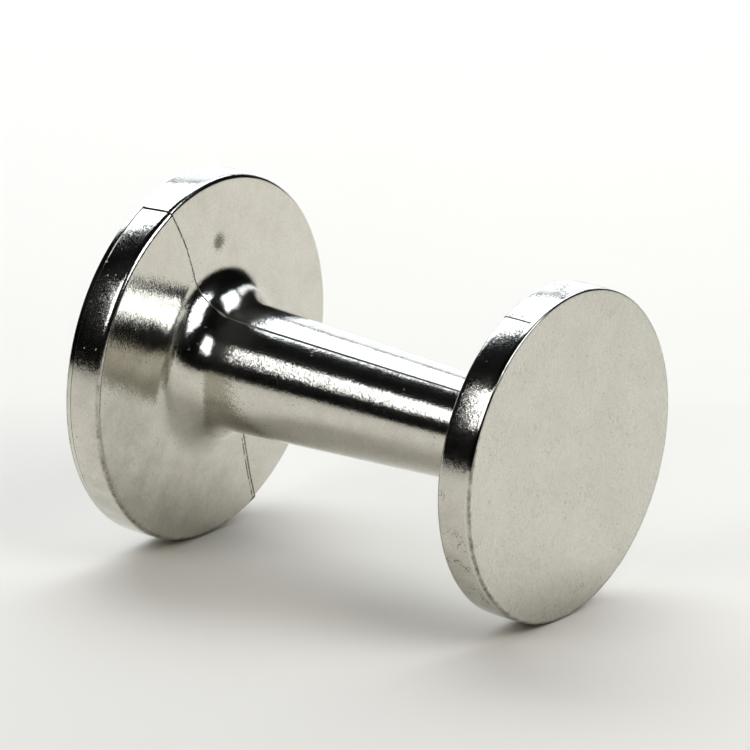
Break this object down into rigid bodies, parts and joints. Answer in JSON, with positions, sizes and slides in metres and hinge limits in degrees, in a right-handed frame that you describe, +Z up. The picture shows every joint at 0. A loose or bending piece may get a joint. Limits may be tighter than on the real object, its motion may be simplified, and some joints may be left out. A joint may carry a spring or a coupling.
{
  "type": "double-ended coffee tamper",
  "caption": "Double-ended coffee tamper: a large and a small flat round head on a tapered handle with a flared root, split along its length and closed by flat face discs.",
  "frame": {"origin": "the point on the resting surface under the middle of the object's box, with the tamper lying on the rims of both heads", "axes": "+Z up from the resting surface; +X from the large head towards the small head, along the handle as seen from above, so the handle's axis falls 2.59 degrees below +X; +Y level across the handle"},
  "size_m": [0.0748, 0.057, 0.0571],
  "materials": {
    "cast_body": "bright tumbled casting",
    "sanded_face": "fine straight sanding, satin",
    "steel_hardware": "turned",
    "sealing_rubber": "matte black"
  },
  "bodies": {
    "root": {"front_half_body": "cast_body", "rear_half_body": "cast_body", "large_face_disc": "sanded_face", "small_face_disc": "sanded_face", "tie_rod": "steel_hardware", "large_sealing_ring": "sealing_rubber", "small_sealing_ring": "sealing_rubber", "large_head_upper_dowel": "steel_hardware", "large_head_lower_dowel": "steel_hardware", "small_head_upper_dowel": "steel_hardware", "small_head_lower_dowel": "steel_hardware"}
  },
  "joints": []
}
